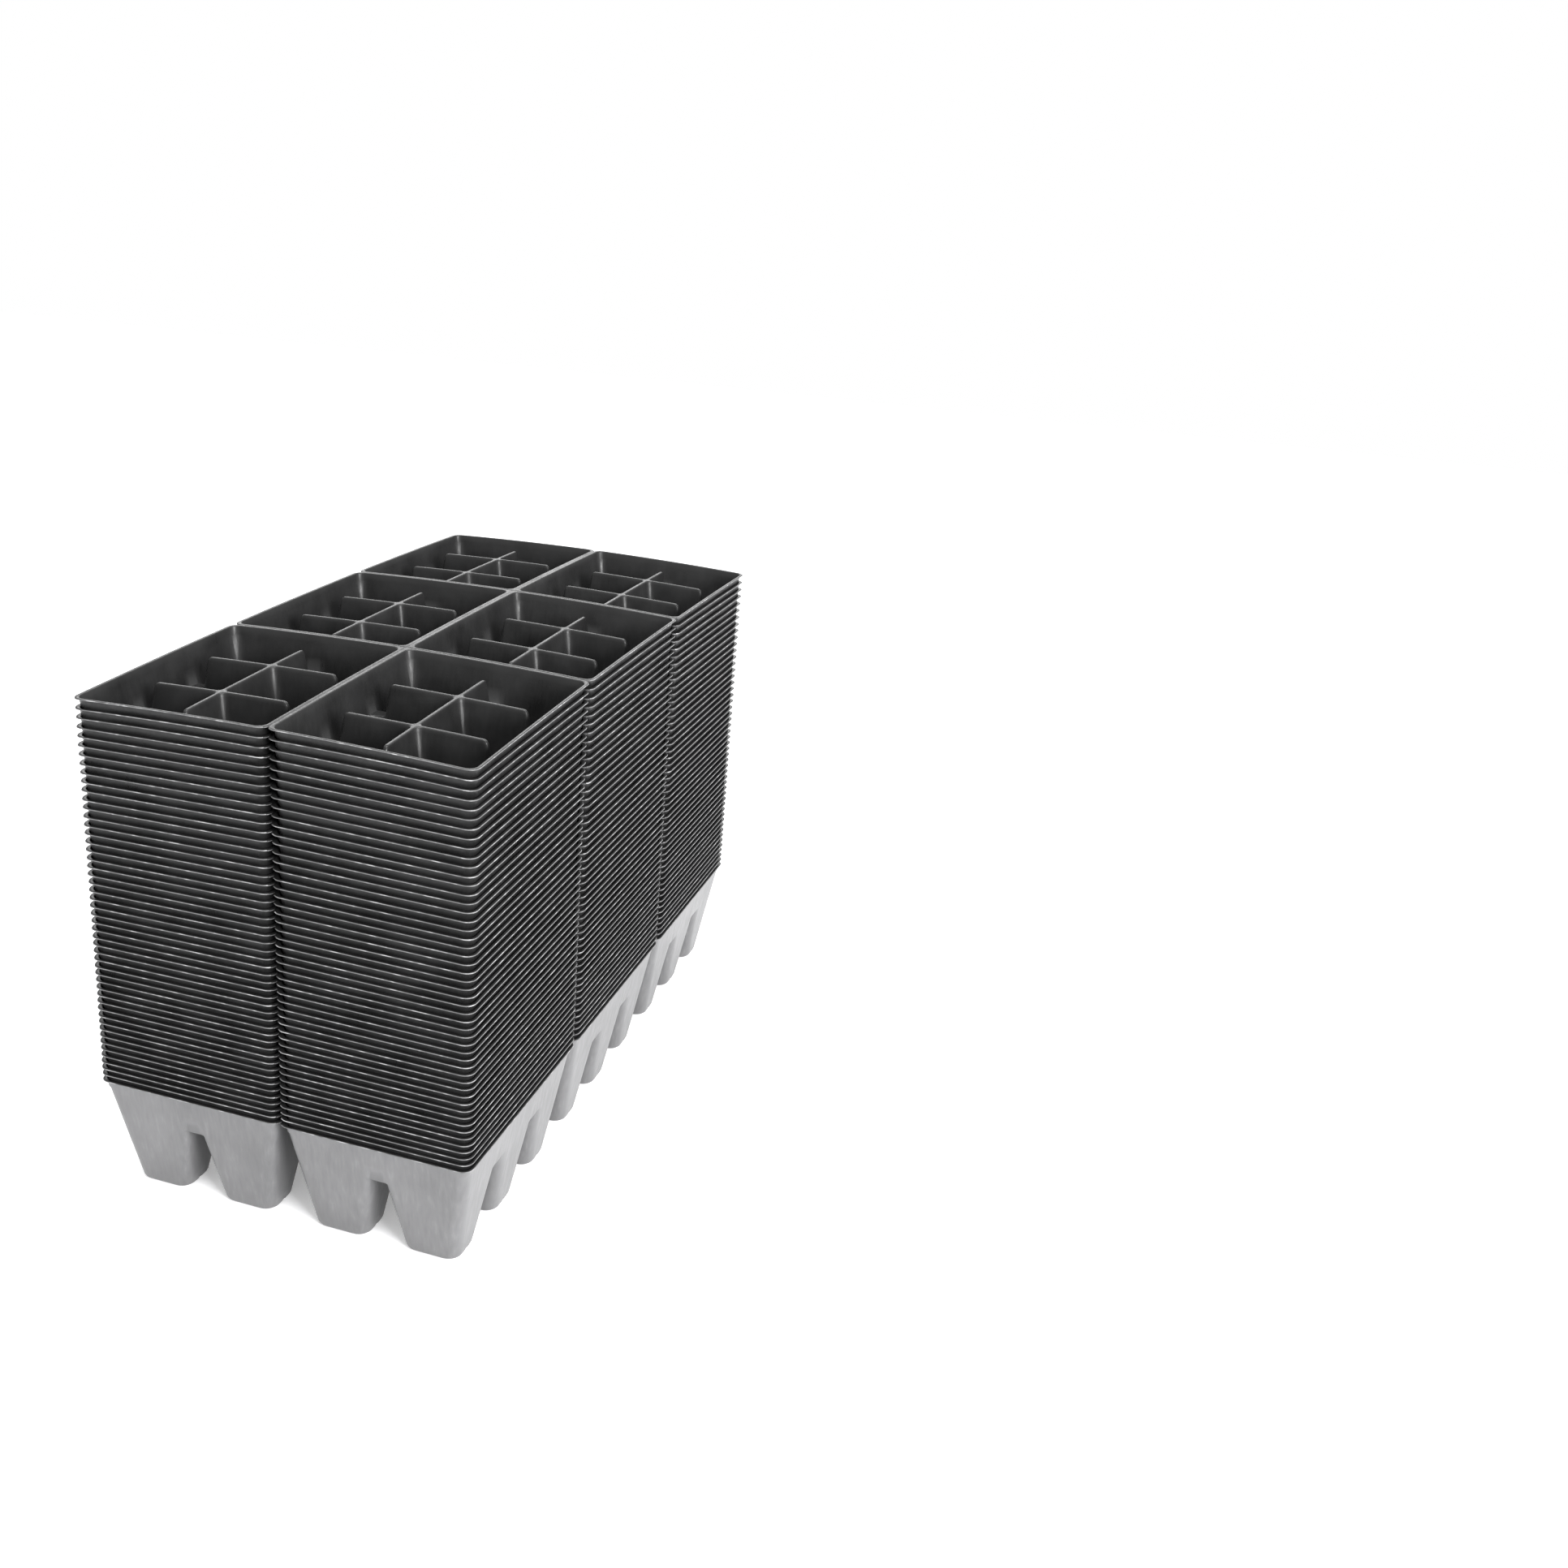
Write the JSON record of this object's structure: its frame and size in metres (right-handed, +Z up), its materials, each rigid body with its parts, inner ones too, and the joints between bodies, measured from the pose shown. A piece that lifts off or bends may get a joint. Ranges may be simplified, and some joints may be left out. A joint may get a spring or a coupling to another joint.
{
  "type": "plug tray",
  "caption": "Tall stack of nested thermoformed plug trays, each a thin sheet of six-cell packs with deep tapered cells; the top trays lift off.",
  "frame": {"origin": "middle of the stack's base, on the surface that the lowest tray's cell floors stand on", "axes": "+Z up, the way the trays lift off; +Y along a sheet's long side (three packs); +X across it (two packs)"},
  "size_m": [0.272, 0.534, 0.3564],
  "materials": {
    "black_plastic": "semi-gloss thermoformed polystyrene, black",
    "grey_plastic": "satin thermoformed polystyrene, mid grey"
  },
  "bodies": {
    "stack": {"tray_01": "grey_plastic", "tray_02": "black_plastic", "tray_03": "black_plastic", "tray_04": "black_plastic", "tray_05": "black_plastic", "tray_06": "black_plastic", "tray_07": "black_plastic", "tray_08": "black_plastic", "tray_09": "black_plastic", "tray_10": "black_plastic", "tray_11": "black_plastic", "tray_12": "black_plastic", "tray_13": "black_plastic", "tray_14": "black_plastic", "tray_15": "black_plastic", "tray_16": "black_plastic", "tray_17": "black_plastic", "tray_18": "black_plastic", "tray_19": "black_plastic", "tray_20": "black_plastic", "tray_21": "black_plastic", "tray_22": "black_plastic", "tray_23": "black_plastic", "tray_24": "black_plastic", "tray_25": "black_plastic", "tray_26": "black_plastic", "tray_27": "black_plastic", "tray_28": "black_plastic", "tray_29": "black_plastic", "tray_30": "black_plastic", "tray_31": "black_plastic", "tray_32": "black_plastic", "tray_33": "black_plastic", "tray_34": "black_plastic", "tray_35": "black_plastic", "tray_36": "black_plastic", "tray_37": "black_plastic", "tray_38": "black_plastic", "tray_39": "black_plastic", "tray_40": "black_plastic", "tray_41": "black_plastic", "tray_42": "black_plastic", "tray_43": "black_plastic", "tray_44": "black_plastic", "tray_45": "black_plastic", "tray_46": "black_plastic", "tray_47": "black_plastic", "tray_48": "black_plastic"},
    "second_tray": {"tray_49": "black_plastic"},
    "top_tray": {"tray_50": "black_plastic"}
  },
  "joints": [
    {"name": "second_tray_lift", "type": "slide", "parent": "stack", "child": "second_tray", "axis": [0, 0, 1], "range_m": [0, 0.12]},
    {"name": "top_tray_lift", "type": "slide", "parent": "second_tray", "child": "top_tray", "axis": [0, 0, 1], "range_m": [0, 0.12]}
  ]
}
